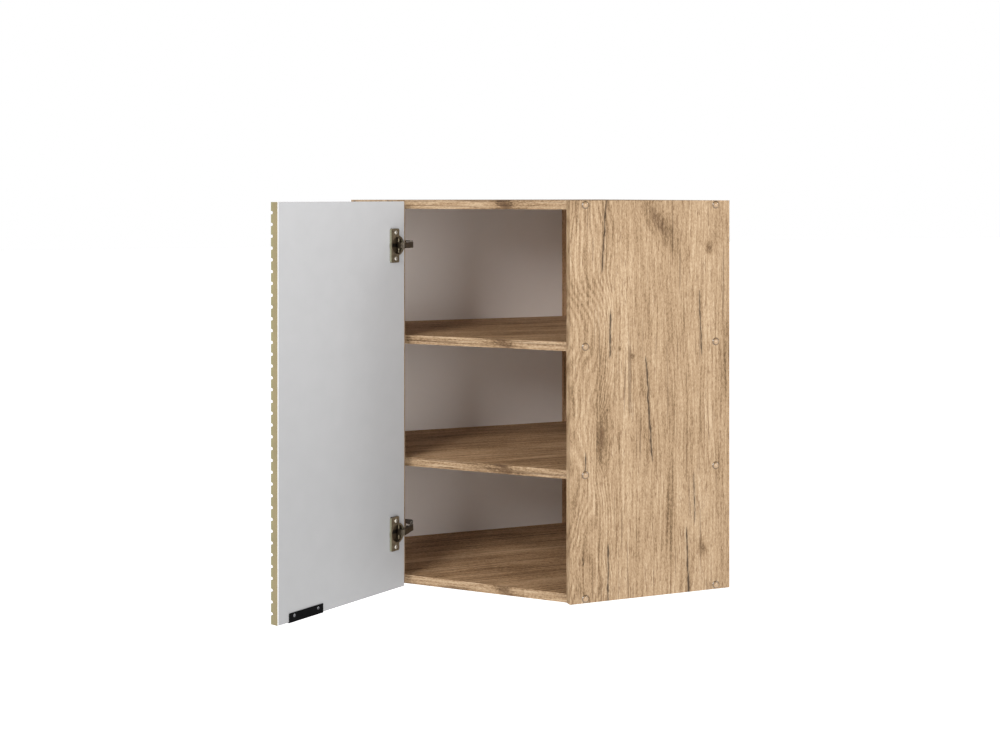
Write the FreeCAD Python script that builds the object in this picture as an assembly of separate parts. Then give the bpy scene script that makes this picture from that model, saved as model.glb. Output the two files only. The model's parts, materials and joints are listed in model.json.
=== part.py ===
import FreeCAD, Part
import math
import os

# Diagonal corner wall cabinet: a five-sided carcass of laminated board with two fixed shelves,
# a recessed hardboard back and one grooved door on two concealed hinges.
#
# Frame: the room corner is the Z axis, the two walls are the planes X = 0 and Y = 0, and the
# cabinet fills +X, -Y, with its underside at Z = 0. The carcass is symmetrical about the line
# X = -Y, so its left half is a mirror image of its right half. The door is modelled standing
# open, hinged on the left side panel. Millimetres throughout.

Vector = FreeCAD.Vector
UP = (0, 0, 1)
DOWN = (0, 0, -1)

# Carcass
PLAN = 570.0  # length along each wall
SIDE_DEPTH = 324.0  # depth of a side panel, square to its wall
HEIGHT = 720.0
BOARD = 16.0
INNER = PLAN - BOARD  # inner face of a side panel
SHELF_UNDERSIDES = (221.0, 450.5)
LEVELS = (0.0,) + SHELF_UNDERSIDES + (HEIGHT - BOARD,)  # underside of each horizontal board

# Recessed back: hardboard sheets in grooves, and two post boards in the room corner
RECESS = 32.0  # wall to the rear face of the sheets
SHEET = 3.0
SHEET_FACE = RECESS + SHEET
GROOVE = 4.0
PLAY = 0.5  # left free at the bottom of a groove
POST_SIGHT = 106.0  # wall to the edge of a post board that shows inside
POST_BACK = SHEET_FACE - BOARD
POST_REACH = POST_SIGHT + GROOVE
TIER_NAMES = ("lower", "middle", "upper")

# Screws through the side panels, and the domed caps over their heads
SCREW_INSETS = (29.0, SIDE_DEPTH - 30.0)  # from the wall
SCREW_HEAD = (5.0, 3.0)  # radius, length
SCREW_COLLAR = (3.5, BOARD - SCREW_HEAD[1])
SCREW_THREAD = (2.5, 34.0)
SOCKET = (2.0, 2.5)  # radius, depth
CAP_RADIUS = 7.2
CAP_RISE = 3.6

# Raised-head screws, given as (head radius, shank radius, head rise, shank length)
HEAD_TOP = 0.7  # top radius of a raised head, as a part of its full radius
HEAD_SHOULDER = 0.4  # height of the shoulder under the crown, as a part of the rise
CROSS = (0.45, 2.2, 0.9)  # cross recess: half-width, half-length, depth

# Post screws
POST_SCREW = (4.0, 2.0, 40.0)  # head radius, shank radius, length
COUNTERSINK = 2.2
POST_SCREW_LEVELS = (90.0, 345.0, 610.0)
POST_SCREW_OFFSET = 65.0  # room corner to the screws in the ends of the posts

# Hanger plates
HANGER_PLATE = 1.6
HANGER_LEVELS = (644.0, 700.0)
HANGER_GAP = 2.0  # wall to the plate
HANGER_LEG = 28.0
HANGER_WIDTH = 42.0
KEYHOLE = (6.0, 3.0, 12.0)  # hole radius, slot half-width, slot rise
KEYHOLE_LEVEL = 668.0
KEYHOLE_INSET = 24.0  # from the side panel
HANGER_SCREW_LEVELS = (657.0, 689.0)
HANGER_SCREW = (3.6, 1.75, 1.8, 12.0)

# Door, in its own frame: x from its hinge edge, y = 0 on its inner face and +y into the cabinet
DOOR_WIDTH = 321.0
DOOR_HEIGHT = 716.0
DOOR_GAP = 2.0  # under the door, and between it and the carcass front
DOOR_SIDE_GAP = 2.15
DOOR_OPEN = 104.0  # degrees from closed to the modelled pose
DOOR_TURN = (-4.4, -14.4)  # turning point in the door frame
FRONT = -BOARD
FLUTES = 35
FLUTE_PITCH = 20.0
FLUTE_MARGIN = 18.0
FLUTE_RADIUS = 2.75
FLUTE_DEPTH = 4.5

# Concealed hinges: cup side, in the door frame
HINGE_LEVELS = {"lower": 104.5, "upper": 636.5}
CUP_X = 21.5
CUP_RADIUS = 17.5
CUP_DEPTH = 10.0
CUP_WALL = 1.5
CUP_FLOOR = 1.0
RIM_RADIUS = 19.0
RIM = 2.5  # rise of the rim off the door
FLANGE = 4.0  # rise of the flange
FLANGE_SPAN = (17.8, 39.5)
FLANGE_HALF = 31.5
FLANGE_CORNER = 3.0
CUP_SCREW_X = 27.5
CUP_SCREW_SPREAD = 24.0
CUP_SCREW = (3.6, 2.0, 1.3, 13.0)
PIN = (12.0, -3.0)  # pivot pin of the links, in the cup
PIN_RADIUS = 1.25
PIN_HALF = 13.4
PIN_CLEARANCE = 0.05
LINK_TOE = (-30.9, -7.7)  # end of the links inside the arm
LINK_CREST = (11.8, 9.6)  # corner of the gooseneck
LINK_BEND = 6.0
LINK_HALF_WIDTH = 2.5
LINK_SHEET = 1.2
LINK_GAP = 0.3  # between the inner link and the web of the outer one
LINK_HALF_HEIGHT = 5.3
INNER_LINK_HALF_HEIGHT = 3.4
RIVET_RADIUS = 1.1

# Concealed hinges: cabinet side, as distance behind the panel's front edge and off its face
ARM_OUTLINE = ((62, 3), (62, 13.5), (42, 13.5), (30, 24), (20, 22), (-3, 14), (-3, 7), (20, 3))
ARM_LEVELS = (5.7, 6.7)
ARM_CORNER = 1.5
WEB_SPAN = (42.0, 62.0)
WEB_RISE = (12.3, 13.5)
ARM_RIVETS = ((3.0, 12.0), (13.0, 16.5))
ARM_RIVET = ((0.0, 1.7), (0.48, 1.53), (0.8, 0.85))  # height and radius of each ring of its head
RIDGE = ((22.0, 62.0), (0.0, 9.0), 5.4)  # span, rise, half-height
RIDGE_CORNER = 1.5
WING = ((30.0, 44.0), (0.0, 2.0), 22.0)
WING_CORNER = 5.0
PLATE_SCREW_SITE = (37.0, 16.0)
PLATE_SCREW = (3.75, 2.5, 2.0, 12.0)
ARM_SCREW_SITES = (47.5, 56.5)
ARM_SCREW = (3.4, 2.4, 1.6, 9.0)

# Edge pull on the door's lower edge
PULL_LENGTH = 81.0
PULL_INSET = 26.4  # from the door's free edge
PULL_SPAN = (DOOR_WIDTH - PULL_INSET - PULL_LENGTH, DOOR_WIDTH - PULL_INSET)
PULL_SHEET = 1.5
PULL_BEND = 1.2  # outer radius of its bends
PULL_RISE = 15.0
PULL_LIP = 14.0  # in front of the door
PULL_DROP = 4.0
PULL_SCREW_INSET = 12.0
PULL_SCREW_LEVEL = 9.5
PULL_SCREW = (3.2, 1.75, 0.9, 10.0)
PULL_SCREW_SINK = 0.7  # seat of the head below the face of the strip

PARALLEL = 0.999  # least cosine between an edge and the direction it runs along
TOLERANCE = 0.01


def block(x, y, z):
    """Box from its (low, high) pair along each axis."""
    return Part.makeBox(x[1] - x[0], y[1] - y[0], z[1] - z[0], Vector(x[0], y[0], z[0]))


def prism(points, z):
    """Upright prism on a plan outline, between two heights."""
    outline = [Vector(px, py, z[0]) for px, py in points]
    face = Part.Face(Part.makePolygon(outline + outline[:1]))
    return face.extrude(Vector(0, 0, z[1] - z[0]))


def turned(profile, start, direction):
    """Solid turned about an axis, from (distance, radius) points along it."""
    rim = [Vector(radius, 0, distance) for distance, radius in profile]
    ends = [Vector(0, 0, profile[-1][0]), Vector(0, 0, profile[0][0])]
    outline = rim + ends
    solid = Part.Face(Part.makePolygon(outline + outline[:1])).revolve(Vector(), Vector(*UP), 360)
    if solid.Volume < 0:
        solid.reverse()
    solid.Placement = FreeCAD.Placement(Vector(*start), FreeCAD.Rotation(Vector(*UP), Vector(*direction)))
    return solid


def runs_along(edge, direction):
    """Whether an edge is straight and runs along a direction."""
    if not isinstance(edge.Curve, Part.Line):
        return False
    return abs(edge.tangentAt(edge.FirstParameter).dot(Vector(*direction))) > PARALLEL


def rounded(shape, radius, direction):
    """Fillet every straight edge that runs along a direction."""
    return shape.makeFillet(radius, [edge for edge in shape.Edges if runs_along(edge, direction)])


def mirrored(shape):
    """The same shape on the other wall."""
    return shape.mirror(Vector(), Vector(1, 1, 0))


def save(name, solids):
    """Write one node, from a solid or a list of solids."""
    shape = Part.makeCompound(solids) if isinstance(solids, list) else solids
    shape.exportStep(f"parts/{name}.step")


# ---- Carcass screws and caps, right side ----

SCREW_SITES = [(-inset, level + BOARD / 2) for inset in SCREW_INSETS for level in LEVELS]


def panel_screw(y, z, with_socket):
    """Screw from the outer face of the right panel into the end of a board."""
    profile = []
    distance = 0.0
    for radius, length in (SCREW_HEAD, SCREW_COLLAR, SCREW_THREAD):
        profile += [(distance, radius), (distance + length, radius)]
        distance += length
    screw = turned(profile, (PLAN, y, z), (-1, 0, 0))
    if with_socket:
        screw = screw.cut(Part.makeCylinder(*SOCKET, Vector(PLAN, y, z), Vector(-1, 0, 0)))
    return screw


def screw_cap(y, z):
    """Low dome with a peg that fills the socket of the screw under it."""
    sphere_radius = (CAP_RADIUS ** 2 + CAP_RISE ** 2) / (2 * CAP_RISE)
    foot = Vector(PLAN, y, z)
    outward = Vector(1, 0, 0)
    sphere = Part.makeSphere(sphere_radius, foot + outward * (CAP_RISE - sphere_radius))
    dome = sphere.common(Part.makeCylinder(CAP_RADIUS, CAP_RISE, foot, outward))
    peg = Part.makeCylinder(*SOCKET, foot, -outward)
    return dome.fuse(peg)


def countersunk(start, direction):
    """Post screw with its head flush at the start point."""
    head, shank, length = POST_SCREW
    return turned([(0, head), (COUNTERSINK, shank), (length, shank)], start, direction)


def raised_screw(sizes, start, direction):
    """Raised-head screw, from the seat of its head along a direction, and its plain envelope."""
    head, shank, rise, length = sizes
    crown = [(-rise, head * HEAD_TOP), (-rise * HEAD_SHOULDER, head), (0, head)]
    profile = crown + [(0, shank), (length, shank)]
    envelope = turned(profile, start, direction)
    half_width, half_length, depth = CROSS
    bars = []
    for x, y in ((half_width, half_length), (half_length, half_width)):
        bar = block((-x, x), (-y, y), (-rise, -rise + depth))
        bar.Placement = envelope.Placement
        bars.append(bar)
    return envelope.cut(bars), envelope


panel_screws = [panel_screw(y, z, True) for y, z in SCREW_SITES]
panel_bores = [panel_screw(y, z, False) for y, z in SCREW_SITES]
post_middle = (POST_BACK + SHEET_FACE) / 2
post_screws = [countersunk((POST_BACK, -post_middle, z), (1, 0, 0)) for z in POST_SCREW_LEVELS]
for x, y in ((post_middle, POST_SCREW_OFFSET), (POST_SCREW_OFFSET, post_middle)):
    post_screws.append(countersunk((x, -y, 0), UP))
    post_screws.append(countersunk((x, -y, HEIGHT), DOWN))


# ---- Boards of the carcass ----

def side_panel():
    """Right side panel, grooved for the sheets and bored for its screws."""
    panel = block((INNER, PLAN), (-SIDE_DEPTH, 0), (0, HEIGHT))
    groove_levels = (BOARD - GROOVE, HEIGHT - BOARD + GROOVE)
    groove = block((INNER, INNER + GROOVE), (-SHEET_FACE, -RECESS), groove_levels)
    return panel.cut([groove] + panel_bores)


def horizontal_board(underside, grooved_above, grooved_below, notched):
    """Five-sided board between the side panels, from the walls to the diagonal front."""
    outline = [(0, 0), (INNER, 0), (INNER, -SIDE_DEPTH), (SIDE_DEPTH, -INNER), (0, -INNER)]
    top = underside + BOARD
    cutters = []
    if grooved_above:
        cutters.append(block((RECESS, SHEET_FACE), (-INNER, -POST_SIGHT), (top - GROOVE, top)))
    if grooved_below:
        cutters.append(block((RECESS, SHEET_FACE), (-INNER, -POST_SIGHT), (underside, underside + GROOVE)))
    if notched:
        cutters.append(block((0, SHEET_FACE), (-POST_REACH, 0), (underside, top)))
    cutters += panel_bores
    both_walls = cutters + [mirrored(cutter) for cutter in cutters]
    return prism(outline, (underside, top)).cut(both_walls + post_screws)


def back_sheet(tier):
    """Hardboard sheet on the X = 0 wall, between two boards."""
    low = LEVELS[tier] + BOARD - GROOVE + PLAY
    high = LEVELS[tier + 1] + GROOVE - PLAY
    return block((RECESS, SHEET_FACE), (-INNER - GROOVE + PLAY, -POST_SIGHT), (low, high))


def post_board(start):
    """Post board on the X = 0 wall, rebated for the ends of the sheets."""
    levels = (BOARD, HEIGHT - BOARD)
    board = block((POST_BACK, SHEET_FACE), (-POST_REACH, -start), levels)
    return board.cut(block((RECESS, SHEET_FACE), (-POST_REACH, -POST_SIGHT), levels))


def hanger():
    """Folded steel angle behind the right sheet, with a keyhole for a wall hook."""
    leg = block((INNER - HANGER_PLATE, INNER), (-HANGER_GAP - HANGER_LEG, -HANGER_GAP), HANGER_LEVELS)
    plate = block((INNER - HANGER_WIDTH, INNER), (-HANGER_GAP - HANGER_PLATE, -HANGER_GAP), HANGER_LEVELS)
    hole_radius, slot_half, slot_rise = KEYHOLE
    x = INNER - KEYHOLE_INSET
    through = (-HANGER_GAP - 2 * HANGER_PLATE, -HANGER_GAP + HANGER_PLATE)
    depth = through[1] - through[0]
    outward = Vector(0, 1, 0)
    hole = Part.makeCylinder(hole_radius, depth, Vector(x, through[0], KEYHOLE_LEVEL), outward)
    slot_top = KEYHOLE_LEVEL + slot_rise
    slot_end = Part.makeCylinder(slot_half, depth, Vector(x, through[0], slot_top), outward)
    slot = block((x - slot_half, x + slot_half), through, (KEYHOLE_LEVEL, slot_top))
    return leg.fuse(plate).removeSplitter().cut([hole, slot_end, slot])


# ---- Door frame and placement ----

diagonal = math.sqrt(0.5)
closed_corner = Vector(
    SIDE_DEPTH + (DOOR_SIDE_GAP + DOOR_GAP) * diagonal,
    -INNER + (DOOR_SIDE_GAP - DOOR_GAP) * diagonal,
    0,
)
closed = FreeCAD.Placement(closed_corner, FreeCAD.Rotation(Vector(*UP), 45.0))
turning_point = closed.multVec(Vector(*DOOR_TURN, 0))
opening = FreeCAD.Placement(Vector(), FreeCAD.Rotation(Vector(*UP), -DOOR_OPEN), turning_point)
opened = opening.multiply(closed)


def on_door(shape):
    """Move a shape from the door frame to where the open door stands."""
    return shape.transformed(opened.toMatrix())


def door_panel(bores):
    """Door with evenly spaced half-round flutes across its front face."""
    panel = block((0, DOOR_WIDTH), (FRONT, 0), (DOOR_GAP, DOOR_GAP + DOOR_HEIGHT))
    floor_y = FRONT + FLUTE_DEPTH - FLUTE_RADIUS
    cutters = []
    for index in range(FLUTES):
        z = DOOR_GAP + FLUTE_MARGIN + index * FLUTE_PITCH
        cutters.append(block((0, DOOR_WIDTH), (FRONT, floor_y), (z - FLUTE_RADIUS, z + FLUTE_RADIUS)))
        cutters.append(Part.makeCylinder(FLUTE_RADIUS, DOOR_WIDTH, Vector(0, floor_y, z), Vector(1, 0, 0)))
    return panel.cut(cutters).cut(bores)


def edge_pull():
    """Bent strip: screwed flange inside, web under the door, and a lip in front."""
    low = DOOR_GAP - PULL_SHEET
    lip = FRONT - PULL_LIP
    inside = PULL_SHEET
    profile = [
        (inside, DOOR_GAP + PULL_RISE),
        (inside, low),
        (lip, low),
        (lip, DOOR_GAP - PULL_DROP - PULL_SHEET),
        (lip - PULL_SHEET, DOOR_GAP - PULL_DROP - PULL_SHEET),
        (lip - PULL_SHEET, DOOR_GAP),
        (0, DOOR_GAP),
        (0, DOOR_GAP + PULL_RISE),
    ]
    outline = [Vector(PULL_SPAN[0], y, z) for y, z in profile]
    strip = Part.Face(Part.makePolygon(outline + outline[:1]))
    solid = strip.extrude(Vector(PULL_SPAN[1] - PULL_SPAN[0], 0, 0))
    outer_bends = []
    for edge in solid.Edges:
        for corner_y, corner_z in ((inside, low), (lip - PULL_SHEET, DOOR_GAP)):
            corner = Vector(edge.CenterOfMass.x, corner_y, corner_z)
            if runs_along(edge, (1, 0, 0)) and edge.CenterOfMass.distanceToPoint(corner) < TOLERANCE:
                outer_bends.append(edge)
    return solid.makeFillet(PULL_BEND, outer_bends)


# ---- Hinge pieces on the door ----

def hinge_cup(z):
    """Flanged cup sunk in the door's inner face."""
    centre = Vector(CUP_X, 0, z)
    inward = Vector(0, 1, 0)
    wing = block(FLANGE_SPAN, (0, FLANGE), (z - FLANGE_HALF, z + FLANGE_HALF))
    wing = rounded(wing, FLANGE_CORNER, (0, 1, 0))
    rim = Part.makeCylinder(RIM_RADIUS, RIM, centre, inward)
    body = Part.makeCylinder(CUP_RADIUS, CUP_DEPTH, centre, -inward)
    cup = wing.fuse([rim, body])
    depth = CUP_DEPTH - CUP_FLOOR + FLANGE
    mouth = Part.makeCylinder(CUP_RADIUS - CUP_WALL, depth, centre + inward * FLANGE, -inward)
    return cup.cut(mouth)


def cup_pin(z, radius, half_length):
    """Upright pin across the cup, or the hole that turns on it."""
    return Part.makeCylinder(radius, 2 * half_length, Vector(PIN[0], PIN[1], z - half_length))


def link_path(shift):
    """Gooseneck from the cup pin over the rim to the toe, moved outwards by a shift."""
    pin = Vector(PIN[0], PIN[1], 0)
    crest = Vector(LINK_CREST[0], LINK_CREST[1], 0)
    toe = Vector(LINK_TOE[0], LINK_TOE[1], 0)
    rise = (crest - pin).normalize()
    fall = (toe - crest).normalize()
    out_of_rise = rise.cross(Vector(*UP))
    out_of_fall = fall.cross(Vector(*UP))
    outward = (out_of_rise + out_of_fall).normalize()
    bend_radius = LINK_BEND / math.tan(rise.getAngle(fall) / 2)
    centre = crest - rise * LINK_BEND - out_of_rise * bend_radius
    reach = bend_radius + shift
    bend_start = centre + out_of_rise * reach
    bend_end = centre + out_of_fall * reach
    return Part.Wire([
        Part.LineSegment(pin + out_of_rise * shift, bend_start).toShape(),
        Part.Arc(bend_start, centre + outward * reach, bend_end).toShape(),
        Part.LineSegment(bend_end, toe + out_of_fall * shift).toShape(),
    ])


def link_band(shift, half_width, levels):
    """Flat bar along the link path, between two heights."""
    outline = link_path(shift).makeOffset2D(half_width, 0, False, False)
    bar = Part.Face(outline).extrude(Vector(0, 0, levels[1] - levels[0]))
    bar.translate(Vector(0, 0, levels[0]))
    return bar


def outer_link(z):
    """Folded link: an upper and a lower cheek joined by a web along the outside."""
    half = LINK_HALF_HEIGHT
    web_shift = LINK_HALF_WIDTH - LINK_SHEET / 2
    upper = link_band(0, LINK_HALF_WIDTH, (z + half - LINK_SHEET, z + half))
    lower = link_band(0, LINK_HALF_WIDTH, (z - half, z - half + LINK_SHEET))
    web = link_band(web_shift, LINK_SHEET / 2, (z - half, z + half))
    return upper.fuse([lower, web])


def inner_link(z):
    """Solid link inside the folded one."""
    half = INNER_LINK_HALF_HEIGHT
    shift = -LINK_SHEET / 2
    half_width = LINK_HALF_WIDTH - LINK_SHEET / 2 - LINK_GAP
    return link_band(shift, half_width, (z - half, z + half))


def link_rivet(z):
    """Rivet through both links at their toe."""
    half = LINK_HALF_HEIGHT
    return Part.makeCylinder(RIVET_RADIUS, 2 * half, Vector(LINK_TOE[0], LINK_TOE[1], z - half))


# ---- Hinge pieces on the left side panel ----

def off_panel(behind, off):
    """Plan point from its distance behind the front edge and off the panel's inner face."""
    return (SIDE_DEPTH - behind, -INNER + off)


def panel_block(behind, off, levels):
    """Box beside the left panel."""
    far = off_panel(behind[1], off[0])
    near = off_panel(behind[0], off[1])
    return block((far[0], near[0]), (far[1], near[1]), levels)


def hinge_arm(z):
    """Forked arm: an upper and a lower plate joined by a web at the rear."""
    outline = [off_panel(*point) for point in ARM_OUTLINE]
    low, high = ARM_LEVELS
    plates = []
    for levels in ((z + low, z + high), (z - high, z - low)):
        plates.append(rounded(prism(outline, levels), ARM_CORNER, UP))
    web = panel_block((WEB_SPAN[0], WEB_SPAN[1] - ARM_CORNER), WEB_RISE, (z - low, z + low))
    return plates[0].fuse([plates[1], web])


def arm_rivets(z):
    """Rivet heads on the outer faces of the arm's two plates."""
    level = ARM_LEVELS[1]
    rivets = []
    for site in ARM_RIVETS:
        x, y = off_panel(*site)
        rivets.append(turned(ARM_RIVET, (x, y, z + level), UP))
        rivets.append(turned(ARM_RIVET, (x, y, z - level), DOWN))
    return rivets


def hinge_plate(z):
    """Mounting plate: a ridge that the arm straddles, on a cross wing."""
    ridge = panel_block(RIDGE[0], RIDGE[1], (z - RIDGE[2], z + RIDGE[2]))
    wing = panel_block(WING[0], WING[1], (z - WING[2], z + WING[2]))
    return rounded(ridge, RIDGE_CORNER, (0, 1, 0)).fuse(rounded(wing, WING_CORNER, (0, 1, 0)))


os.makedirs("parts", exist_ok=True)

# Cabinet side of both hinges
left_panel_bores = []
for name, z in HINGE_LEVELS.items():
    plate = hinge_plate(z)
    arm = hinge_arm(z)
    plate_screws = []
    for side in (-1, 1):
        x, y = off_panel(PLATE_SCREW_SITE[0], WING[1][1])
        screw, envelope = raised_screw(PLATE_SCREW, (x, y, z + side * PLATE_SCREW_SITE[1]), (0, -1, 0))
        plate_screws.append(screw)
        plate = plate.cut(envelope)
        left_panel_bores.append(envelope)
    arm_screws = []
    for behind in ARM_SCREW_SITES:
        x, y = off_panel(behind, WEB_RISE[1])
        screw, envelope = raised_screw(ARM_SCREW, (x, y, z), (0, -1, 0))
        arm_screws.append(screw)
        plate = plate.cut(envelope)
        arm = arm.cut(envelope)
    save(f"hinge_plate_{name}", plate)
    save(f"hinge_plate_screws_{name}", plate_screws)
    save(f"hinge_arm_{name}", arm)
    save(f"hinge_arm_rivets_{name}", arm_rivets(z))
    save(f"hinge_arm_screws_{name}", arm_screws)

# Hangers and their screws
hanger_right = hanger()
hanger_screws = []
right_panel_bores = []
for z in HANGER_SCREW_LEVELS:
    seat = (INNER - HANGER_PLATE, -HANGER_GAP - HANGER_LEG / 2, z)
    screw, envelope = raised_screw(HANGER_SCREW, seat, (1, 0, 0))
    hanger_screws += [screw, mirrored(screw)]
    hanger_right = hanger_right.cut(envelope)
    right_panel_bores.append(envelope)
    left_panel_bores.append(mirrored(envelope))
save("hanger_right", hanger_right)
save("hanger_left", mirrored(hanger_right))
save("hanger_screws", hanger_screws)

# Carcass
plain_side = side_panel()
save("side_panel_right", plain_side.cut(right_panel_bores))
save("side_panel_left", mirrored(plain_side).cut(left_panel_bores))
save("bottom_panel", horizontal_board(LEVELS[0], True, False, False))
save("shelf_lower", horizontal_board(LEVELS[1], True, True, True))
save("shelf_upper", horizontal_board(LEVELS[2], True, True, True))
save("top_panel", horizontal_board(LEVELS[3], False, True, False))
for tier, name in enumerate(TIER_NAMES):
    sheet = back_sheet(tier)
    save(f"back_sheet_left_{name}", sheet)
    save(f"back_sheet_right_{name}", mirrored(sheet))
save("corner_post_left", post_board(POST_BACK).cut(post_screws))
save("corner_post_right", mirrored(post_board(SHEET_FACE)).cut(post_screws))
save("post_screws", post_screws)
save("panel_screws_right", panel_screws)
save("panel_screws_left", [mirrored(screw) for screw in panel_screws])
caps = [screw_cap(y, z) for y, z in SCREW_SITES]
save("screw_caps_right", caps)
save("screw_caps_left", [mirrored(cap) for cap in caps])

# Door side of both hinges
door_bores = []
for name, z in HINGE_LEVELS.items():
    cup = hinge_cup(z)
    cup_screws = []
    for side in (-1, 1):
        seat = (CUP_SCREW_X, FLANGE, z + side * CUP_SCREW_SPREAD)
        screw, envelope = raised_screw(CUP_SCREW, seat, (0, -1, 0))
        cup_screws.append(on_door(screw))
        cup = cup.cut(envelope)
        door_bores.append(envelope)
    door_bores.append(Part.makeCylinder(CUP_RADIUS, CUP_DEPTH, Vector(CUP_X, 0, z), Vector(0, -1, 0)))
    pin = cup_pin(z, PIN_RADIUS, PIN_HALF)
    eye = cup_pin(z, PIN_RADIUS + PIN_CLEARANCE, PIN_HALF)
    rivet = link_rivet(z)
    save(f"hinge_cup_{name}", on_door(cup.cut(pin)))
    save(f"hinge_cup_screws_{name}", cup_screws)
    save(f"hinge_cup_pin_{name}", on_door(pin))
    save(f"hinge_outer_link_{name}", on_door(outer_link(z).cut([eye, rivet])))
    save(f"hinge_inner_link_{name}", on_door(inner_link(z).cut([eye, rivet])))
    save(f"hinge_link_rivet_{name}", on_door(rivet))

# Door and its pull
pull = edge_pull()
pull_screws = []
for x in (PULL_SPAN[0] + PULL_SCREW_INSET, PULL_SPAN[1] - PULL_SCREW_INSET):
    seat = (x, PULL_SHEET - PULL_SCREW_SINK, DOOR_GAP + PULL_SCREW_LEVEL)
    screw, envelope = raised_screw(PULL_SCREW, seat, (0, -1, 0))
    pull_screws.append(on_door(screw))
    pull = pull.cut(envelope)
    door_bores.append(envelope)
save("edge_pull", on_door(pull))
save("edge_pull_screws", pull_screws)
save("door_panel", on_door(door_panel(door_bores)))

print("door turns about", turning_point)
print("links turn about", opened.multVec(Vector(*PIN, 0)))
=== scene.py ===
import json
import math

import bpy
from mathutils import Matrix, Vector


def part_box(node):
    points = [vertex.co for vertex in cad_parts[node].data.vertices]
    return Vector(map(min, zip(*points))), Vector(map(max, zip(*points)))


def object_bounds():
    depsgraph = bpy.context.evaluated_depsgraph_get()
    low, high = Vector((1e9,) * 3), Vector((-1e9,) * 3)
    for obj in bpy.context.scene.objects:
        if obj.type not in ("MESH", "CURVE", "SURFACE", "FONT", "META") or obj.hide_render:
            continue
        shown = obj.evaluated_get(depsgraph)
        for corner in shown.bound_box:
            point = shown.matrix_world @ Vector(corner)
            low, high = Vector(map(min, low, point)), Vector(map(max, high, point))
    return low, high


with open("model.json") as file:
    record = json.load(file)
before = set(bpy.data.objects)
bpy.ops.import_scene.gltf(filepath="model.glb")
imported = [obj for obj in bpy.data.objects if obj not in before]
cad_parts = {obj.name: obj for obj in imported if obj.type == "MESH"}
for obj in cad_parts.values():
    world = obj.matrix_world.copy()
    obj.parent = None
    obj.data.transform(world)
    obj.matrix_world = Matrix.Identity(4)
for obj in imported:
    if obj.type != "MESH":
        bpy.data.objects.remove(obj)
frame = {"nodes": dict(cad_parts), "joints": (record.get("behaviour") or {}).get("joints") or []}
cad_low, cad_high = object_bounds()
nodes = frame["nodes"]

# The row frame: the walls are X = 0 and Y = 0, the cabinet's front looks along +X, -Y.
# Sizes are metres.
DIAGONAL = math.sqrt(0.5)
UPWARD = (0.0, 0.0, 1.0)
TOWARD_RIGHT_WALL_END = (1.0, 0.0, 0.0)
TOWARD_LEFT_WALL_END = (0.0, -1.0, 0.0)
FRONT_NORMAL = (DIAGONAL, -DIAGONAL, 0.0)
ALONG_FRONT = (DIAGONAL, DIAGONAL, 0.0)

# The door stands open at rest. Closed, at its joint's upper limit, it lies along the front.
door_joint = next(joint for joint in frame["joints"] if joint["name"] == "door_swing")
DOOR_TURN = math.radians(45.0 - door_joint["range_deg"][1])
DOOR_INWARD = (-math.sin(DOOR_TURN), math.cos(DOOR_TURN), 0.0)
DOOR_ALONG = (math.cos(DOOR_TURN), math.sin(DOOR_TURN), 0.0)
FLUTE_FLOOR = 0.0115  # inner face of the door to the bottom of its grooves
DOOR_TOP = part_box("door_panel")[1].z
door_corners = [vertex.co for vertex in nodes["door_panel"].data.vertices]
DOOR_FACE = max(corner.dot(Vector(DOOR_INWARD)) for corner in door_corners)
DOOR_BOARD = DOOR_FACE - min(corner.dot(Vector(DOOR_INWARD)) for corner in door_corners)
DOOR_FREE_EDGE = max(corner.dot(Vector(DOOR_ALONG)) for corner in door_corners)


def srgb(red, green, blue):
    """Linear colour from screen values of 0 to 255."""
    linear = []
    for value in (red, green, blue):
        share = value / 255
        linear.append(share / 12.92 if share <= 0.04045 else ((share + 0.055) / 1.055) ** 2.4)
    return (*linear, 1.0)


# ---- Camera ----

CAMERA_PLACE = Vector((2.9367, -1.3723, 0.7297))
CAMERA_AZIMUTH = 68.87
CAMERA_LENS = 52.29
CAMERA_SHIFT = -0.1799

camera_data = bpy.data.cameras.new("camera")
camera_data.lens = CAMERA_LENS
camera_data.sensor_width = 36.0
camera_data.shift_y = CAMERA_SHIFT
camera_data.clip_end = 200.0
camera = bpy.data.objects.new("camera", camera_data)
bpy.context.scene.collection.objects.link(camera)
camera.location = CAMERA_PLACE
camera.rotation_euler = (math.radians(90.0), 0.0, math.radians(CAMERA_AZIMUTH))
bpy.context.scene.camera = camera
bpy.context.scene.view_settings.view_transform = "Standard"


# ---- Short calls for building node trees ----

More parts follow.
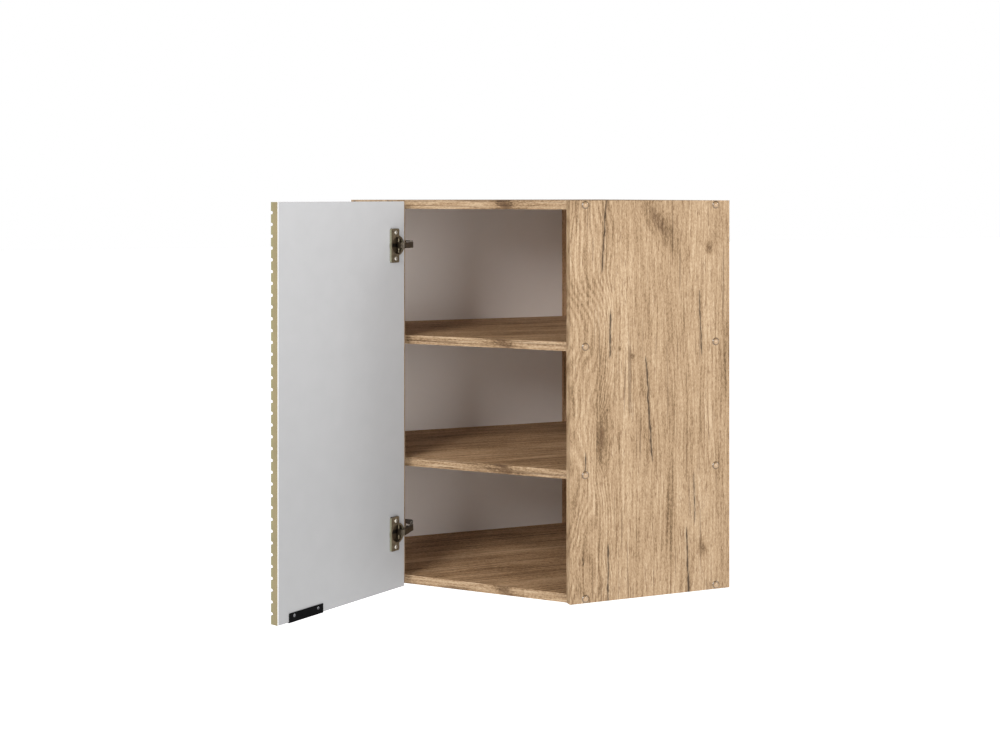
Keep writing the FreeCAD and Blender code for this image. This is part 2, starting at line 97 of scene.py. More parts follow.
class Graph:
    """A material's node tree, with one short method for each kind of node it uses."""

    def __init__(self, name):
        self.material = bpy.data.materials.new(name)
        self.material.use_nodes = True
        self.tree = self.material.node_tree
        self.tree.nodes.clear()
        self.shader = self.tree.nodes.new("ShaderNodeBsdfPrincipled")
        output = self.tree.nodes.new("ShaderNodeOutputMaterial")
        self.tree.links.new(self.shader.outputs["BSDF"], output.inputs["Surface"])
        coordinates = self.tree.nodes.new("ShaderNodeTexCoord")
        self.place = coordinates.outputs["Object"]
        self.normal = coordinates.outputs["Normal"]

    def put(self, socket, value):
        """Link an output socket to an input, or set the input's own value."""
        if isinstance(value, bpy.types.NodeSocket):
            self.tree.links.new(value, socket)
        else:
            socket.default_value = value

    def math(self, operation, first, second=0.0, third=0.0):
        node = self.tree.nodes.new("ShaderNodeMath")
        node.operation = operation
        for socket, value in zip(node.inputs, (first, second, third)):
            self.put(socket, value)
        return node.outputs["Value"]

    def vector(self, operation, first, second=(0.0, 0.0, 0.0)):
        node = self.tree.nodes.new("ShaderNodeVectorMath")
        node.operation = operation
        self.put(node.inputs[0], first)
        self.put(node.inputs[1], second)
        return node.outputs["Value"] if operation == "DOT_PRODUCT" else node.outputs["Vector"]

    def axis(self, vector, index):
        node = self.tree.nodes.new("ShaderNodeSeparateXYZ")
        self.put(node.inputs[0], vector)
        return node.outputs[index]

    def combine(self, x, y, z):
        node = self.tree.nodes.new("ShaderNodeCombineXYZ")
        for socket, value in zip(node.inputs, (x, y, z)):
            self.put(socket, value)
        return node.outputs["Vector"]

    def noise(self, vector, stretch, detail=2.0, roughness=0.5):
        """Noise between 0 and 1, with its own scale along each axis."""
        node = self.tree.nodes.new("ShaderNodeTexNoise")
        self.put(node.inputs["Vector"], self.vector("MULTIPLY", vector, stretch))
        node.inputs["Scale"].default_value = 1.0
        node.inputs["Detail"].default_value = detail
        node.inputs["Roughness"].default_value = roughness
        return node.outputs["Fac"]

    def cells(self, vector, scale, feature="F1"):
        node = self.tree.nodes.new("ShaderNodeTexVoronoi")
        node.feature = feature
        self.put(node.inputs["Vector"], vector)
        node.inputs["Scale"].default_value = scale
        return node

    def step(self, value, low, high, at_low=0.0, at_high=1.0):
        """Smooth step from one value to another."""
        node = self.tree.nodes.new("ShaderNodeMapRange")
        node.interpolation_type = "SMOOTHSTEP"
        for socket, number in zip(node.inputs, (value, low, high, at_low, at_high)):
            self.put(socket, number)
        return node.outputs["Result"]

    def ramp(self, value, stops):
        node = self.tree.nodes.new("ShaderNodeValToRGB")
        self.put(node.inputs["Fac"], value)
        elements = node.color_ramp.elements
        while len(elements) < len(stops):
            elements.new(0.5)
        for element, (position, colour) in zip(elements, stops):
            element.position = position
            element.color = colour
        return node.outputs["Color"]

    def mix(self, share, first, second, blend="MIX"):
        node = self.tree.nodes.new("ShaderNodeMix")
        node.data_type = "RGBA"
        node.blend_type = blend
        self.put(node.inputs["Factor"], share)
        self.put(node.inputs[6], first)
        self.put(node.inputs[7], second)
        return node.outputs[2]

    def mix_vector(self, share, first, second):
        node = self.tree.nodes.new("ShaderNodeMix")
        node.data_type = "VECTOR"
        self.put(node.inputs["Factor"], share)
        self.put(node.inputs[4], first)
        self.put(node.inputs[5], second)
        return node.outputs[1]

    def scaled(self, colour, factor):
        """Colour times a grey factor."""
        return self.mix(1.0, colour, self.combine(factor, factor, factor), "MULTIPLY")

    def facing(self, direction, least=0.9):
        """1 on faces that look along a direction, else 0."""
        return self.math("GREATER_THAN", self.vector("DOT_PRODUCT", self.normal, direction), least)

    def along(self, direction):
        """Distance from the origin along a direction."""
        return self.vector("DOT_PRODUCT", self.place, direction)

    def bump(self, height, distance, strength=1.0):
        node = self.tree.nodes.new("ShaderNodeBump")
        self.put(node.inputs["Height"], height)
        node.inputs["Distance"].default_value = distance
        node.inputs["Strength"].default_value = strength
        self.tree.links.new(node.outputs["Normal"], self.shader.inputs["Normal"])

    def finish(self, colour, roughness, metallic=0.0):
        self.put(self.shader.inputs["Base Color"], colour)
        self.put(self.shader.inputs["Roughness"], roughness)
        self.shader.inputs["Metallic"].default_value = metallic
        return self.material


def paint(material, *names):
    """Give CAD nodes a material."""
    for name in names:
        slots = nodes[name].data.materials
        slots.clear()
        slots.append(material)


def named(*starts):
    """Names of the CAD nodes that start with one of the words given."""
    return [name for name in nodes if name.startswith(starts)]


# ---- Oak laminate ----

OAK_TONES = (
    (0.0, srgb(66, 50, 36)),
    (0.3, srgb(120, 96, 69)),
    (0.52, srgb(151, 125, 96)),
    (0.75, srgb(168, 142, 112)),
    (1.0, srgb(188, 164, 135)),
)
OAK_CRACK = srgb(54, 41, 31)
OAK_KNOT = srgb(92, 68, 47)
OAK_PORE = srgb(116, 88, 62)
OAK_SPLIT = srgb(84, 62, 42)
CHIP_TONES = ((0.0, srgb(92, 66, 42)), (0.5, srgb(138, 106, 72)), (1.0, srgb(178, 148, 110)))
CRACK_TAPER = 0.018
CRACK_HALO = 0.006
KNOT_RINGS = 11.0
RING_FREQUENCY = 640.0
WIDE_RING_FREQUENCY = 150.0
RING_SHARE = 0.13
MIDDLE_TONE = 0.55
SPLIT_SOFTNESS = 0.045

# Noise scales of the print, across, through and along the grain
SWAY = (7.0, 7.0, 1.6)
WOBBLE = (40.0, 40.0, 6.0)
BANDS = (16.0, 16.0, 1.3)
CLOUDS = (9.0, 9.0, 7.0)
FIBRES = (330.0, 330.0, 9.0)
SPECKS = (520.0, 520.0, 210.0)
STREAKS = (120.0, 120.0, 2.4)
PORES = (380.0, 380.0, 48.0)
SPLITS = (210.0, 210.0, 4.5)
KNOT_CRUMBLE = (300.0, 300.0, 120.0)
FLAMES = (11.0, 11.0, 5.5)

# The first plank of a print with joins: its flame figure, and how far the print jumps at each join
FLAME_BEND = 0.11
FLAME_RING_SHARE = 0.12
FIRST_PLANK_TONE = -0.07
JUMP_ACROSS = 0.37
JUMP_ALONG = 1.9


def crack_mask(graph, across, along, crack):
    """Thin dark split that wanders along the grain: (place across, lean, low, high, half-width)."""
    centre, lean, low, high, half_width = crack
    middle = (low + high) / 2
    place = graph.combine(centre * 100.0, 0.0, along)
    wander = graph.math("SUBTRACT", graph.noise(place, (1.0, 1.0, 26.0), 3.0), 0.5)
    line = graph.math("MULTIPLY_ADD", graph.math("SUBTRACT", along, middle), lean, centre)
    line = graph.math("MULTIPLY_ADD", wander, 0.008, line)
    offset = graph.math("ABSOLUTE", graph.math("SUBTRACT", across, line))
    window = graph.math(
        "MULTIPLY",
        graph.step(along, low, low + CRACK_TAPER),
        graph.step(along, high - CRACK_TAPER, high, 1.0, 0.0),
    )
    swell = graph.step(graph.noise(place, (3.0, 1.0, 70.0), 2.0), 0.3, 0.7, 0.45, 1.5)
    width = graph.math("MULTIPLY", graph.math("MULTIPLY", window, swell), half_width)
    inside = graph.math("DIVIDE", offset, graph.math("ADD", width, 0.00002))
    core = graph.math("MULTIPLY", graph.step(inside, 0.6, 1.5, 1.0, 0.0), graph.step(window, 0.0, 0.3))
    halo = graph.math("MULTIPLY", graph.step(offset, 0.0, CRACK_HALO, 0.3, 0.0), window)
    return graph.math("MAXIMUM", core, halo)


def knot_distance(graph, across, along, knot):
    """Distance from a knot's centre, 1 at its rim.

    A knot is (place across, place along, half-width, stretch along the grain, tilt).
    """
    centre, level, size, stretch, tilt = knot
    side = graph.math("SUBTRACT", across, centre)
    rise = graph.math("SUBTRACT", along, level)
    cosine, sine = math.cos(tilt), math.sin(tilt)
    turned_side = graph.math("MULTIPLY_ADD", side, cosine, graph.math("MULTIPLY", rise, sine))
    turned_rise = graph.math("MULTIPLY_ADD", side, -sine, graph.math("MULTIPLY", rise, cosine))
    flat = graph.combine(
        graph.math("DIVIDE", turned_side, size), graph.math("DIVIDE", turned_rise, size * stretch), 0.0
    )
    node = graph.tree.nodes.new("ShaderNodeVectorMath")
    node.operation = "LENGTH"
    graph.put(node.inputs[0], flat)
    return node.outputs["Value"]


def wave(graph, place, frequency):
    """Smooth wave between 0 and 1 along a measure."""
    swing = graph.math("SINE", graph.math("MULTIPLY", place, frequency))
    return graph.math("MULTIPLY_ADD", swing, 0.5, 0.5)


def oak_surface(
    graph, across, depth, along, shift,
    cracks=(), knots=(), stains=(), joins=(), figure=1.0, splits_from=0.645,
):
    """Colour and height of the oak print, from a place across and along the grain.

    Cracks, knots and stains lie at places on the board. A join starts a new plank of the print, and
    the first plank has a flame figure. Figure scales the print's contrast about its middle tone, and a
    lower splits_from makes more fine dark splits.
    """
    place = graph.vector("ADD", graph.combine(across, depth, along), shift)
    plank = 0.0
    for join in joins:
        plank = graph.math("ADD", plank, graph.math("GREATER_THAN", across, join))
    jump_across = graph.math("MULTIPLY", plank, JUMP_ACROSS)
    jump_along = graph.math("MULTIPLY", plank, JUMP_ALONG)
    place = graph.vector("ADD", place, graph.combine(jump_across, 0.0, jump_along))
    pull = 0.0
    dark = 0.0
    for knot in knots:
        distance = knot_distance(graph, across, along, knot)
        pull = graph.math("ADD", pull, graph.step(distance, 0.4, 3.4, 1.0, 0.0))
        crumble = graph.noise(place, KNOT_CRUMBLE, 3.0, 0.7)
        ragged = graph.math("MULTIPLY_ADD", crumble, 1.7, distance)
        swirl = graph.math("SINE", graph.math("MULTIPLY", ragged, KNOT_RINGS))
        swirl = graph.math("MULTIPLY_ADD", swirl, 0.3, 0.7)
        core = graph.math("MULTIPLY", graph.step(ragged, 1.2, 2.2, 1.0, 0.0), swirl)
        dark = graph.math("MAXIMUM", dark, core)
    sway = graph.noise(place, SWAY, 2.0)
    wobble = graph.noise(place, WOBBLE, 2.0)
    bent = graph.math("MULTIPLY_ADD", sway, 0.11, graph.axis(place, 0))
    bent = graph.math("MULTIPLY_ADD", wobble, 0.009, bent)
    bent = graph.math("MULTIPLY_ADD", pull, 0.035, bent)
    if joins:
        flame = graph.math("SUBTRACT", graph.noise(place, FLAMES, 1.5), 0.5)
        first_plank = graph.math("LESS_THAN", plank, 0.5)
        bent = graph.math("MULTIPLY_ADD", graph.math("MULTIPLY", flame, first_plank), FLAME_BEND, bent)
        ring_share = graph.math("MULTIPLY_ADD", first_plank, FLAME_RING_SHARE, RING_SHARE)
    else:
        ring_share = RING_SHARE
    rings = wave(graph, bent, RING_FREQUENCY)
    wide_rings = wave(graph, bent, WIDE_RING_FREQUENCY)
    bands = graph.noise(place, BANDS, 3.0, 0.55)
    clouds = graph.noise(place, CLOUDS, 3.0, 0.6)
    fibres = graph.noise(place, FIBRES, 3.0, 0.7)
    specks = graph.noise(place, SPECKS, 2.0, 0.7)
    streaks = graph.step(graph.noise(place, STREAKS, 2.0), 0.6, 0.68)
    tone = graph.math("MULTIPLY_ADD", bands, 0.7, -0.04)
    tone = graph.math("MULTIPLY_ADD", clouds, 0.45, tone)
    tone = graph.math("MULTIPLY_ADD", rings, ring_share, tone)
    if joins:
        tone = graph.math("MULTIPLY_ADD", first_plank, FIRST_PLANK_TONE, tone)
    tone = graph.math("MULTIPLY_ADD", wide_rings, 0.08, tone)
    tone = graph.math("MULTIPLY_ADD", graph.math("SUBTRACT", fibres, 0.5), 1.0, tone)
    tone = graph.math("MULTIPLY_ADD", graph.math("SUBTRACT", specks, 0.5), 1.0, tone)
    tone = graph.math("MULTIPLY_ADD", pull, -0.12, tone)
    tone = graph.math("MULTIPLY_ADD", graph.math("MULTIPLY", rings, pull), -0.26, tone)
    for stain in stains:
        near = graph.step(knot_distance(graph, across, along, stain), 0.2, 2.6, 1.0, 0.0)
        tone = graph.math("MULTIPLY_ADD", near, -0.2, tone)
    tone = graph.math("MULTIPLY_ADD", streaks, -0.14, tone)
    tone = graph.math("MULTIPLY_ADD", tone, figure, MIDDLE_TONE * (1.0 - figure))
    colour = graph.ramp(tone, OAK_TONES)
    dashes = graph.step(graph.noise(place, PORES, 2.0, 0.5), 0.62, 0.68)
    colour = graph.mix(graph.math("MULTIPLY", dashes, 0.6), colour, OAK_PORE)
    split_noise = graph.noise(place, SPLITS, 2.0, 0.6)
    splits = graph.step(split_noise, splits_from, splits_from + SPLIT_SOFTNESS)
    colour = graph.mix(graph.math("MULTIPLY", splits, 0.5), colour, OAK_SPLIT)
    colour = graph.mix(graph.math("MULTIPLY", dark, 0.78), colour, OAK_KNOT)
    lines = 0.0
    for crack in cracks:
        lines = graph.math("MAXIMUM", lines, crack_mask(graph, across, along, crack))
    colour = graph.mix(graph.math("MULTIPLY", lines, 0.86), colour, OAK_CRACK)
    height = graph.math("MULTIPLY_ADD", fibres, 0.5, graph.math("MULTIPLY", dashes, -0.8))
    height = graph.math("MULTIPLY_ADD", lines, -1.0, height)
    return colour, height


def chipboard(graph):
    """Raw pressed chips, as on an edge with no band."""
    chips = graph.cells(graph.vector("MULTIPLY", graph.place, (1.0, 1.0, 2.2)), 420.0)
    shade = graph.axis(chips.outputs["Color"], 0)
    return graph.ramp(shade, CHIP_TONES)


def oak_material(name, across, along, raw_faces, shift, banded_front=False, painted_light_tints=(), **print_details):
    """Oak laminate for one board: the axes across and along its grain, its raw faces, and its faces with
    painted light or shade.
    """
    graph = Graph(name)
    depth_axis = 3 - across - along
    places = [graph.axis(graph.place, index) for index in range(3)]
    across_place, depth_place, along_place = places[across], places[depth_axis], places[along]
    if banded_front:
        front = graph.facing(FRONT_NORMAL)
        edge_place = graph.combine(places[2], graph.along(FRONT_NORMAL), graph.along(ALONG_FRONT))
        face_place = graph.combine(across_place, depth_place, along_place)
        mixed = graph.mix_vector(front, face_place, edge_place)
        across_place, depth_place, along_place = (graph.axis(mixed, index) for index in range(3))
    colour, height = oak_surface(graph, across_place, depth_place, along_place, shift, **print_details)
    raw = 0.0
    for direction in raw_faces:
        raw = graph.math("MAXIMUM", raw, graph.facing(direction))
    colour = graph.mix(raw, colour, chipboard(graph))
    # Painted light and shade: each tint makes the faces that look one way lighter or darker.
    for direction, tint in painted_light_tints:
        colour = graph.mix(graph.facing(direction), colour, graph.mix(1.0, colour, tint, "MULTIPLY"))
    graph.bump(height, 0.0003, 0.8)
    graph.shader.inputs["Specular IOR Level"].default_value = 0.2
    return graph.finish(colour, graph.step(height, -1.0, 0.6, 0.8, 0.7))


WALL_SIDES = ((-1.0, 0.0, 0.0), (0.0, 1.0, 0.0))
ENDS = (UPWARD, (0.0, 0.0, -1.0))

# Side panels: the grain stands upright. Places across are Y on the right panel and X on the left
# one, and places along are heights. A crack is (place across, lean, low end, high end, half-width).
RIGHT_CRACKS = (
    (-0.257, 0.078, 0.585, 0.740, 0.0010),
    (-0.245, 0.030, 0.430, 0.530, 0.0012),
    (-0.167, -0.075, 0.240, 0.442, 0.0013),
    (-0.061, -0.045, 0.430, 0.560, 0.0009),
    (-0.249, 0.000, -0.030, 0.110, 0.0013),
    (-0.088, -0.040, -0.030, 0.125, 0.0014),
    (-0.294, 0.000, 0.222, 0.275, 0.0010),
    (-0.074, -0.020, 0.120, 0.225, 0.0007),
)
# A knot or a stain is (place across, place along, half-width, stretch along the grain, tilt).
RIGHT_KNOTS = (
    (-0.148, 0.682, 0.0095, 3.4, 0.62),
    (-0.262, 0.293, 0.0060, 3.6, -0.05),
    (-0.201, 0.438, 0.0046, 1.1, 0.0),
    (-0.226, 0.452, 0.0022, 1.1, 0.0),
    (-0.042, 0.632, 0.0046, 1.3, 0.0),
    (-0.056, 0.079, 0.0054, 1.6, 0.3),
)
RIGHT_STAINS = (
    (-0.260, 0.370, 0.0110, 6.0, 0.0),
    (-0.255, 0.650, 0.0070, 7.0, 0.0),
    (-0.125, 0.150, 0.0060, 9.0, 0.0),
    (-0.010, 0.420, 0.0060, 9.0, 0.0),
)
RIGHT_JOIN = -0.2375
LEFT_CRACKS = (
    (0.070, 0.030, 0.320, 0.560, 0.0010),
    (0.220, -0.030, -0.030, 0.180, 0.0010),
    (0.260, 0.040, 0.480, 0.740, 0.0008),
)
LEFT_KNOTS = (
    (0.130, 0.210, 0.0040, 4.0, 0.1),
    (0.190, 0.600, 0.0030, 1.4, 0.0),
)
# Painted shade: the left panel's front edge is darkened, as if in the open door's shadow.
LEFT_EDGE_PAINTED_SHADE = (TOWARD_RIGHT_WALL_END, (0.75, 0.73, 0.71, 1.0))
right_oak = oak_material(
    "oak_right_side", 1, 2, (WALL_SIDES[1], *ENDS), (3.1, 0.0, 1.4),
    cracks=RIGHT_CRACKS, knots=RIGHT_KNOTS, stains=RIGHT_STAINS, joins=(RIGHT_JOIN,),
)
left_oak = oak_material(
    "oak_left_side", 0, 2, (WALL_SIDES[0], *ENDS), (7.7, 0.0, 4.2), painted_light_tints=(LEFT_EDGE_PAINTED_SHADE,),
    cracks=LEFT_CRACKS, knots=LEFT_KNOTS,
)
paint(right_oak, "side_panel_right")
paint(left_oak, "side_panel_left")

# Horizontal boards: the grain runs along Y on the faces and along the diagonal edge band
# Painted shade: the front edge band of each board is darkened.
BAND_PAINTED_SHADE = (FRONT_NORMAL, (0.86, 0.84, 0.82, 1.0))
# Painted light: the upward faces of the boards and shelves are made lighter.
BOARD_TOP_PAINTED_LIGHT = (UPWARD, (1.22, 1.1, 1.0, 1.0))
# Painted light: the corner posts' faces toward the wall ends are made much lighter.
POST_PAINTED_LIGHT = (1.7, 1.6, 1.6, 1.0)
POST_FACE_PAINTED_LIGHT = ((TOWARD_RIGHT_WALL_END, POST_PAINTED_LIGHT), (TOWARD_LEFT_WALL_END, POST_PAINTED_LIGHT))
EDGE_KNOT_PLACE = 0.042
BOARD_FIGURE = 1.5
BOARD_SPLITS_FROM = 0.585
BOARD_SHIFTS = {
    "bottom_panel": (1.3, 0.0, 5.1),
    "shelf_lower": (4.9, 0.0, 2.7),
    "shelf_upper": (8.3, 0.0, 6.3),
    "top_panel": (2.2, 0.0, 8.8),
}
for board_name, board_shift in BOARD_SHIFTS.items():
    board_low, board_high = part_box(board_name)
    edge_knot = ((board_low.z + board_high.z) / 2, EDGE_KNOT_PLACE, 0.0085, 2.2, 0.5)
    board_oak = oak_material(
        "oak_" + board_name, 0, 1, WALL_SIDES, board_shift,
        banded_front=True, painted_light_tints=(BAND_PAINTED_SHADE, BOARD_TOP_PAINTED_LIGHT),
        knots=(edge_knot,), figure=BOARD_FIGURE, splits_from=BOARD_SPLITS_FROM,
    )
    paint(board_oak, board_name)
post_oak = oak_material("oak_posts", 0, 2, (), (5.7, 0.3, 9.4), painted_light_tints=POST_FACE_PAINTED_LIGHT)
paint(post_oak, "corner_post_left", "corner_post_right")


# ---- Hardboard back ----

def hardboard_material():
    """Thin board with a pale grey lacquer on its face and brown pressed fibre behind."""
    graph = Graph("hardboard")
    flow = graph.noise(graph.place, (9.0, 9.0, 9.0), 3.0)
    fleck = graph.noise(graph.place, (900.0, 900.0, 900.0), 2.0)
    face = graph.ramp(flow, ((0.0, srgb(238, 230, 224)), (1.0, srgb(245, 238, 233))))
    mesh = graph.noise(graph.place, (320.0, 320.0, 320.0), 3.0, 0.7)
    rear = graph.ramp(mesh, ((0.3, srgb(104, 74, 48)), (0.7, srgb(150, 112, 76))))
    front = graph.math(
        "MAXIMUM", graph.facing(TOWARD_RIGHT_WALL_END), graph.facing(TOWARD_LEFT_WALL_END)
    )
    colour = graph.mix(front, rear, face)
    graph.bump(fleck, 0.00008, 0.4)
    return graph.finish(colour, graph.step(fleck, 0.3, 0.7, 0.5, 0.62))


paint(hardboard_material(), *named("back_sheet"))


# ---- Door: olive film over the front and the edges, white inside ----

GROOVE_SHADE = srgb(44, 40, 28)


def door_material():
    graph = Graph("door_film")
    at_face = graph.math("GREATER_THAN", graph.along(DOOR_INWARD), DOOR_FACE - 0.0005)
    inside = graph.math("MULTIPLY", graph.facing(DOOR_INWARD, 0.99), at_face)
    film_noise = graph.noise(graph.place, (30.0, 30.0, 30.0), 3.0)
    grit = graph.noise(graph.place, (1100.0, 1100.0, 1100.0), 2.0, 0.6)
    core = graph.ramp(film_noise, ((0.25, srgb(125, 114, 82)), (0.75, srgb(135, 122, 88))))
    face = graph.ramp(film_noise, ((0.25, srgb(124, 118, 84)), (0.75, srgb(134, 128, 92))))
    depth = graph.math("SUBTRACT", DOOR_FACE, graph.along(DOOR_INWARD))
    film = graph.mix(graph.step(depth, FLUTE_FLOOR - 0.0004, FLUTE_FLOOR + 0.0004), core, face)
    film = graph.scaled(film, graph.step(grit, 0.2, 0.8, 0.95, 1.04))
    # Painted shadow: the upward floors of the grooves get a dark colour.
    in_groove = graph.math("LESS_THAN", depth, DOOR_BOARD - 0.0004)
    groove_floor = graph.math("MULTIPLY", graph.facing(UPWARD, 0.3), in_groove)
    in_board = graph.math("LESS_THAN", graph.axis(graph.place, 2), DOOR_TOP - 0.001)
    film = graph.mix(graph.math("MULTIPLY", groove_floor, in_board), film, GROOVE_SHADE)
    white = graph.ramp(film_noise, ((0.2, srgb(178, 178, 179)), (0.8, srgb(182, 182, 183))))
    # Painted shade: the white face is darker towards the bottom.
    rise = graph.math("DIVIDE", graph.axis(graph.place, 2), cad_high.z)
    white = graph.scaled(white, graph.step(rise, -0.1, 1.1, 0.76, 1.0))
    # Painted highlight: a lighter strip along the free edge of the white face, for its bevel.
    rim = graph.math("GREATER_THAN", graph.along(DOOR_ALONG), DOOR_FREE_EDGE - 0.0022)
    white = graph.mix(rim, white, srgb(226, 226, 226))
    colour = graph.mix(inside, film, white)
    graph.bump(grit, 0.00005, 0.5)
    return graph.finish(colour, graph.step(grit, 0.2, 0.8, 0.42, 0.55))


paint(door_material(), "door_panel")


# ---- Metal and plastic ----

# Painted shade inside the hinge cups: a darker cavity and a darkest bar across its middle.
CAVITY_PAINTED_SHADE = srgb(84, 71, 53)
CUP_BAR_PAINTED_SHADE = srgb(30, 24, 18)
CUP_BAR_HALF = 0.0022
CUP_BAR_FADE = 0.0024


def metal_material(name, dark, light, rough, metallic=1.0, painted_accents=(), cavity=None):
    """Plated metal with slow colour drift and fine brushing.

    Accents are painted light and shade: other colours on faces that look one way. A cavity, given
    by the height of its middle, is the inside of a hinge cup, with painted shade: darker, and darkest in
    a bar across it.
    """
    graph = Graph(name)
    drift = graph.noise(graph.place, (130.0, 130.0, 130.0), 3.0)
    brush = graph.noise(graph.place, (600.0, 600.0, 2400.0), 2.0, 0.6)
    colour = graph.ramp(drift, ((0.3, dark), (0.7, light)))
    for direction, accent in painted_accents:
        # Painted light and shade on the faces that look one way.
        colour = graph.mix(graph.facing(direction, 0.8), colour, accent)
    # Painted shade: the sunk inside of a hinge cup is darker, darkest in a bar across it.
    if cavity is not None:
        sunk = graph.step(graph.along(DOOR_INWARD), DOOR_FACE - 0.0002, DOOR_FACE + 0.0012, 1.0, 0.0)
        offset = graph.math("ABSOLUTE", graph.math("SUBTRACT", graph.axis(graph.place, 2), cavity))
        beside_bar = graph.step(offset, CUP_BAR_HALF, CUP_BAR_HALF + CUP_BAR_FADE)
        inner = graph.mix(beside_bar, CUP_BAR_PAINTED_SHADE, CAVITY_PAINTED_SHADE)
        colour = graph.mix(sunk, colour, inner)
    graph.bump(brush, 0.00002, 0.5)
    return graph.finish(colour, graph.step(brush, 0.2, 0.8, rough - 0.08, rough + 0.08), metallic)


SHADOW_BROWN = srgb(34, 27, 21)
arm_bronze = metal_material(
    "arm_bronze", srgb(96, 87, 72), srgb(128, 116, 98), 0.38, 0.4, painted_accents=((UPWARD, SHADOW_BROWN),)
)
link_bronze = metal_material(
    "link_bronze", srgb(58, 50, 40), srgb(84, 74, 58), 0.34, 0.5, painted_accents=((UPWARD, SHADOW_BROWN),)
)
# Painted highlight on the screw crowns that face into the door, painted shadow on the rest.
cup_screw_steel = metal_material(
    "cup_screws", SHADOW_BROWN, srgb(60, 50, 40), 0.3, 0.4, painted_accents=((DOOR_INWARD, srgb(196, 190, 178)),)
)
pin_bronze = metal_material("pin_bronze", srgb(112, 102, 82), srgb(150, 138, 112), 0.3, 0.6)
bright_bronze = metal_material("bronze_screws", srgb(206, 202, 192), srgb(232, 228, 220), 0.28, 0.3)
zinc = metal_material("zinc", srgb(176, 176, 172), srgb(206, 206, 204), 0.32)
for tier in ("lower", "upper"):
    cup_low, cup_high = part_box("hinge_cup_" + tier)
    # Painted highlight: lighter olive on the faces that look along the door; painted shadow on upward
    # faces.
    cup_bronze = metal_material(
        "cup_bronze_" + tier, srgb(88, 77, 62), srgb(120, 107, 86), 0.38, 0.4,
        painted_accents=((DOOR_ALONG, srgb(150, 149, 126)), (UPWARD, SHADOW_BROWN)),
        cavity=(cup_low.z + cup_high.z) / 2,
    )
    paint(cup_bronze, "hinge_cup_" + tier)
paint(arm_bronze, *named("hinge_arm_lower", "hinge_arm_upper", "hinge_plate_lower", "hinge_plate_upper"))
paint(link_bronze, *named("hinge_outer_link", "hinge_inner_link"))
paint(
    bright_bronze,
    *named("hinge_arm_screws", "hinge_arm_rivets", "hinge_plate_screws", "hinge_link_rivet"),
)
paint(pin_bronze, *named("hinge_cup_pin"))
paint(cup_screw_steel, *named("hinge_cup_screws"))
paint(zinc, *named("hanger_", "panel_screws", "post_screws"))


def coated_material():
    """Matt black powder coat with its fine pebbled skin."""
    graph = Graph("black_coat")
    pebble = graph.noise(graph.place, (1500.0, 1500.0, 1500.0), 2.0)
    drift = graph.noise(graph.place, (90.0, 90.0, 90.0), 2.0)
    colour = graph.ramp(drift, ((0.3, srgb(6, 6, 7)), (0.7, srgb(11, 11, 12))))
    graph.bump(pebble, 0.00005, 0.6)
    graph.shader.inputs["Specular IOR Level"].default_value = 0.04
    return graph.finish(colour, graph.step(pebble, 0.2, 0.8, 0.55, 0.7))


paint(coated_material(), "edge_pull")
black_zinc = metal_material("black_zinc", srgb(84, 84, 86), srgb(136, 136, 138), 0.26, 0.7)
paint(black_zinc, "edge_pull_screws")


def cap_material():
    """Oak-coloured moulded plastic."""
    graph = Graph("cap_plastic")
    mottle = graph.noise(graph.place, (220.0, 220.0, 70.0), 3.0)
    colour = graph.ramp(mottle, ((0.25, srgb(158, 128, 94)), (0.75, srgb(174, 144, 110))))
    # Painted shade: the dome is darker towards its rim, where it turns away from the front.
    toward_left = graph.math("MULTIPLY", graph.axis(graph.normal, 1), -1.0)
    outward = graph.math("MAXIMUM", graph.axis(graph.normal, 0), toward_left)
    colour = graph.scaled(colour, graph.step(outward, 0.7, 0.97, 0.36, 1.0))
    graph.bump(mottle, 0.00005, 0.3)
    graph.shader.inputs["Coat Weight"].default_value = 0.5
    graph.shader.inputs["Coat Roughness"].default_value = 0.16
    return graph.finish(colour, graph.step(mottle, 0.2, 0.8, 0.3, 0.38))


paint(cap_material(), "screw_caps_left", "screw_caps_right")


# ---- Studio ----

FLOOR_LEVEL = -1.6
FLOOR_HALF = 60.0
COVE_NEAR = 1.2
COVE_FAR = 2.9
NEAR_GLOW = 0.6

floor_mesh = bpy.data.meshes.new("floor")
floor_corners = [(-1, -1), (1, -1), (1, 1), (-1, 1)]
floor_points = [(x * FLOOR_HALF, y * FLOOR_HALF, FLOOR_LEVEL) for x, y in floor_corners]
floor_mesh.from_pydata(floor_points, [], [(0, 1, 2, 3)])
floor = bpy.data.objects.new("floor", floor_mesh)
bpy.context.scene.collection.objects.link(floor)


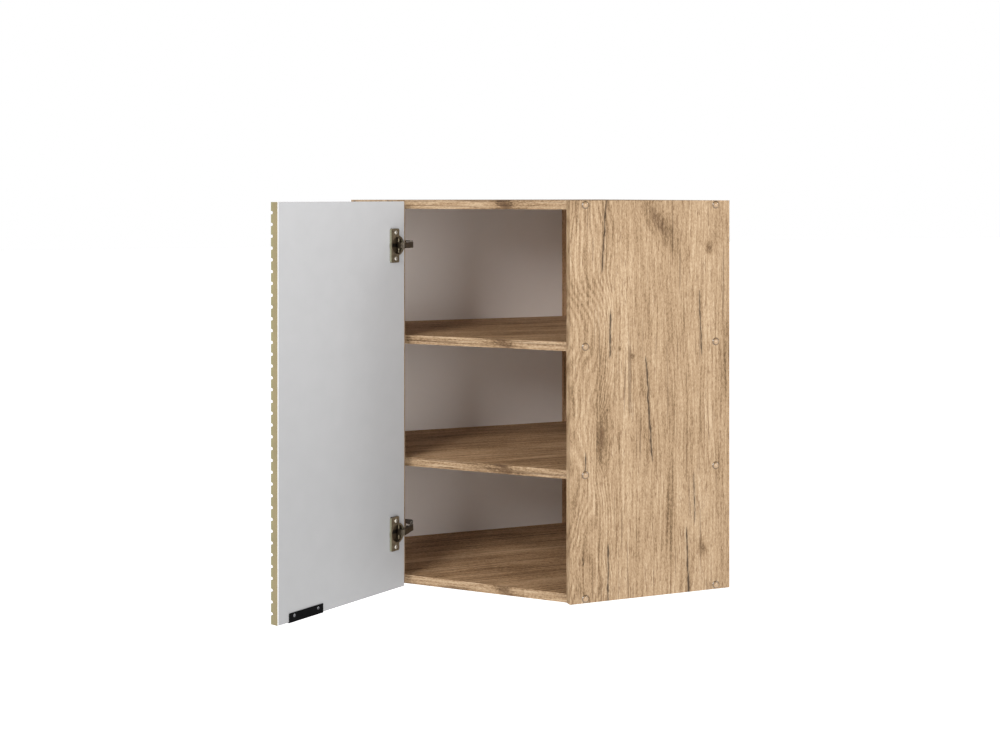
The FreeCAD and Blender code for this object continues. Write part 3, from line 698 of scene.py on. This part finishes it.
def floor_material():
    """Pale floor that glows, weaker near the object, and turns into a glowing white cove away from it.
    """
    graph = Graph("floor")
    flat = graph.vector("MULTIPLY", graph.place, (1.0, 1.0, 0.0))
    node = graph.tree.nodes.new("ShaderNodeVectorMath")
    node.operation = "LENGTH"
    graph.put(node.inputs[0], flat)
    glow = graph.step(node.outputs["Value"], COVE_NEAR, COVE_FAR, NEAR_GLOW, 1.0)
    mottle = graph.noise(graph.place, (3.0, 3.0, 3.0), 2.0)
    graph.shader.inputs["Emission Color"].default_value = (1.0, 1.0, 1.0, 1.0)
    graph.put(graph.shader.inputs["Emission Strength"], glow)
    colour = graph.ramp(mottle, ((0.0, srgb(236, 236, 236)), (1.0, srgb(240, 240, 240))))
    return graph.finish(colour, 0.8)


floor_mesh.materials.append(floor_material())

SKY_LOW = 1.0
SKY_HIGH = 0.12
KEY_POWER = 38.0
FRONT_POWER = 31.0
LEFT_POWER = 94.0

world = bpy.data.worlds.new("studio")
bpy.context.scene.world = world
world.use_nodes = True
tree = world.node_tree
background = tree.nodes["Background"]
direction = tree.nodes.new("ShaderNodeTexCoord")
split = tree.nodes.new("ShaderNodeSeparateXYZ")
fall = tree.nodes.new("ShaderNodeMapRange")
fall.interpolation_type = "SMOOTHSTEP"
for socket, number in zip(fall.inputs[1:5], (0.14, 0.5, SKY_LOW, SKY_HIGH)):
    socket.default_value = number
tree.links.new(direction.outputs["Generated"], split.inputs[0])
tree.links.new(split.outputs["Z"], fall.inputs["Value"])
tree.links.new(fall.outputs["Result"], background.inputs["Strength"])
background.inputs["Color"].default_value = (1.0, 1.0, 1.0, 1.0)


def area_light(name, place, target, size, power):
    """Square soft light aimed at a point."""
    data = bpy.data.lights.new(name, "AREA")
    data.shape = "SQUARE"
    data.size = size
    data.energy = power
    light = bpy.data.objects.new(name, data)
    bpy.context.scene.collection.objects.link(light)
    light.location = place
    light.rotation_euler = (Vector(target) - Vector(place)).to_track_quat("-Z", "Y").to_euler()


middle = (cad_low + cad_high) / 2
area_light("key", (2.2, 3.2, 2.4), middle, 1.0, KEY_POWER)
area_light("front", (3.4, 0.3, 0.8), middle, 1.4, FRONT_POWER)
area_light("left", (2.4, -3.0, 1.9), middle, 1.4, LEFT_POWER)
